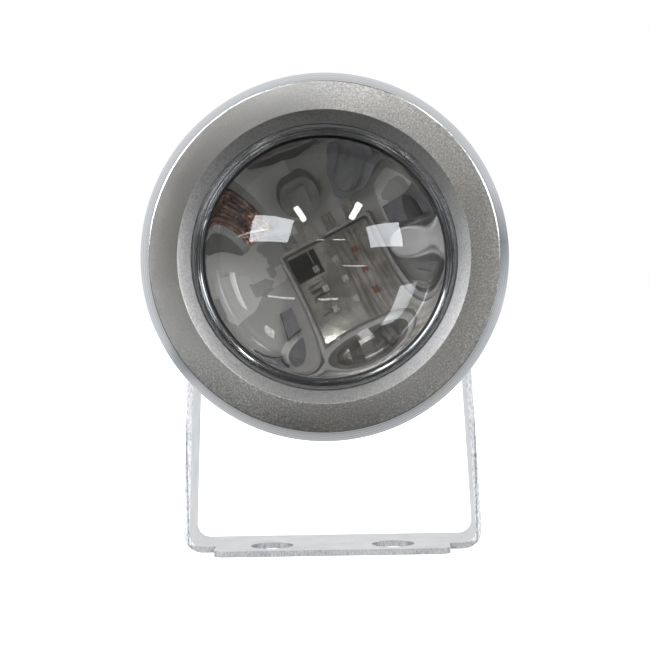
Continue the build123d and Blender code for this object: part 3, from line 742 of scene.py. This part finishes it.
def place_camera():
    """Looks level at the ring from a little right of its axis and below it, rolled slightly."""
    camera = bpy.data.objects.new("camera", bpy.data.cameras.new("camera"))
    ahead = Vector((-math.sin(CAMERA_YAW), math.cos(CAMERA_YAW), 0))
    ring_centre = Vector((0, FACE_Y, AXIS_Z))
    camera.location = ring_centre - ahead * CAMERA_DISTANCE - Vector((0, 0, CAMERA_BELOW_AXIS))
    camera.rotation_euler = (math.radians(90), CAMERA_ROLL, CAMERA_YAW)
    camera.data.lens = CAMERA_LENS
    camera.data.sensor_width = CAMERA_SENSOR
    camera.data.clip_start = 10 * MM
    bpy.context.scene.collection.objects.link(camera)
    bpy.context.scene.camera = camera
    bpy.context.scene.view_settings.view_transform = "Standard"


def studio_world():
    """White to the eye. Its light is dark behind the camera and white behind the object."""
    world = bpy.data.worlds.new("studio")
    world.use_nodes = True
    tree = world.node_tree
    link = tree.links.new
    split = tree.nodes.new("ShaderNodeSeparateXYZ")
    link(tree.nodes.new("ShaderNodeTexCoord").outputs["Generated"], split.inputs[0])

    def level(source, *stops):
        spread = tree.nodes.new("ShaderNodeMapRange")
        spread.inputs["From Min"].default_value = -1
        link(source, spread.inputs["Value"])
        ramp = tree.nodes.new("ShaderNodeValToRGB")
        while len(ramp.color_ramp.elements) < len(stops):
            ramp.color_ramp.elements.new(0.5)
        for element, (position, colour) in zip(ramp.color_ramp.elements, stops):
            element.position = (position + 1) / 2
            element.color = (*colour, 1)
        link(spread.outputs[0], ramp.inputs[0])
        return ramp.outputs[0]

    depth = level(split.outputs[1], (-1, (0.13, 0.13, 0.127)), (-0.35, (0.17, 0.17, 0.165)),
                  (0.0, (0.34, 0.342, 0.345)), (0.26, (0.54, 0.55, 0.565)), (0.7, (0.98, 0.99, 1.0)))
    behind = tree.nodes.new("ShaderNodeMath")
    behind.operation = "MAXIMUM"
    link(split.outputs[1], behind.inputs[0])
    behind.inputs[1].default_value = 0
    lifted = tree.nodes.new("ShaderNodeMath")
    lifted.operation = "MULTIPLY_ADD"
    link(behind.outputs[0], lifted.inputs[0])
    lifted.inputs[1].default_value = 3
    link(split.outputs[2], lifted.inputs[2])
    height = level(
        lifted.outputs[0], (-1, (0.68, 0.68, 0.68)), (0.0, (0.95, 0.95, 0.95)),
        (0.6, (1.15, 1.15, 1.15)))
    product = tree.nodes.new("ShaderNodeMix")
    product.data_type = "RGBA"
    product.blend_type = "MULTIPLY"
    product.inputs[0].default_value = 1
    link(depth, product.inputs[6])
    link(height, product.inputs[7])
    seen = tree.nodes.new("ShaderNodeMix")
    seen.data_type = "RGBA"
    seen.inputs[7].default_value = (1, 1, 1, 1)
    link(tree.nodes.new("ShaderNodeLightPath").outputs["Is Camera Ray"], seen.inputs[0])
    link(product.outputs[2], seen.inputs[6])
    link(seen.outputs[2], tree.nodes["Background"].inputs["Color"])
    bpy.context.scene.world = world


FLOOR_REACH = 40.0


def studio_floor():
    """Large white floor. It glows enough to stay white, and is left out of reflections."""
    mesh = bpy.data.meshes.new("floor")
    corners = [
        (x * FLOOR_REACH, y * FLOOR_REACH, 0) for x, y in ((-1, -1), (1, -1), (1, 1), (-1, 1))]
    mesh.from_pydata(corners, [], [(0, 1, 2, 3)])
    paint = Shader("floor_paint", Emission_Strength=0.86)
    paint.surface.inputs["Emission Color"].default_value = (1, 1, 1, 1)
    paint.colour(paint.ramp(paint.noise(0.4), (0.3, 0.82), (0.7, 0.86))).roughness(0.8)
    mesh.materials.append(paint.material)
    floor = bpy.data.objects.new("floor", mesh)
    floor.visible_glossy = False
    floor.visible_transmission = False
    bpy.context.scene.collection.objects.link(floor)


LAMP_DISTANCE = 1.25
LOOK_AT = Vector((0, FACE_Y, AXIS_Z))
COOL = (0.92, 0.95, 1.0)


def softbox(name, azimuth, elevation, wide, tall, radiance, roll=0.0, colour=(1, 1, 1)):
    """A rectangular lamp seen from the lens; azimuth is to the camera's right, sizes in degrees."""
    a, e = math.radians(azimuth) + CAMERA_YAW, math.radians(elevation)
    toward = Vector((math.sin(a) * math.cos(e), -math.cos(a) * math.cos(e), math.sin(e)))
    data = bpy.data.lights.new(name, "AREA")
    data.shape = "RECTANGLE"
    data.size = 2 * LAMP_DISTANCE * math.tan(math.radians(wide / 2))
    data.size_y = 2 * LAMP_DISTANCE * math.tan(math.radians(tall / 2))
    data.energy = radiance * math.pi * data.size * data.size_y
    data.color = colour
    lamp = bpy.data.objects.new(name, data)
    lamp.location = LOOK_AT + toward * LAMP_DISTANCE
    rolled = Euler((0, 0, math.radians(roll))).to_quaternion()
    lamp.rotation_euler = (toward.to_track_quat("Z", "Y") @ rolled).to_euler()
    lamp.visible_camera = False
    bpy.context.scene.collection.objects.link(lamp)
    return lamp


place_camera()
studio_world()
studio_floor()
softbox("left_softbox", -53, 24, 38, 20, 12.5, colour=COOL)
softbox("right_softbox", 55, 17, 32, 18, 11.5, colour=COOL)
softbox("upper_left_lamp", -26.5, 38.3, 4.6, 16.4, 25, roll=41)
softbox("upper_right_lamp", 32, 39.2, 5.0, 17.9, 25, roll=-42)
softbox("left_line", -4.4, 15.1, 6.0, 0.7, 20)
softbox("right_line", 11.8, 15.1, 10.4, 0.7, 20)
softbox("low_line", 25.5, -7.5, 20.5, 0.7, 18)
fill = softbox("interior_fill", -42, 34, 26, 20, 4.8)
fill.visible_glossy = False
fill.visible_transmission = False
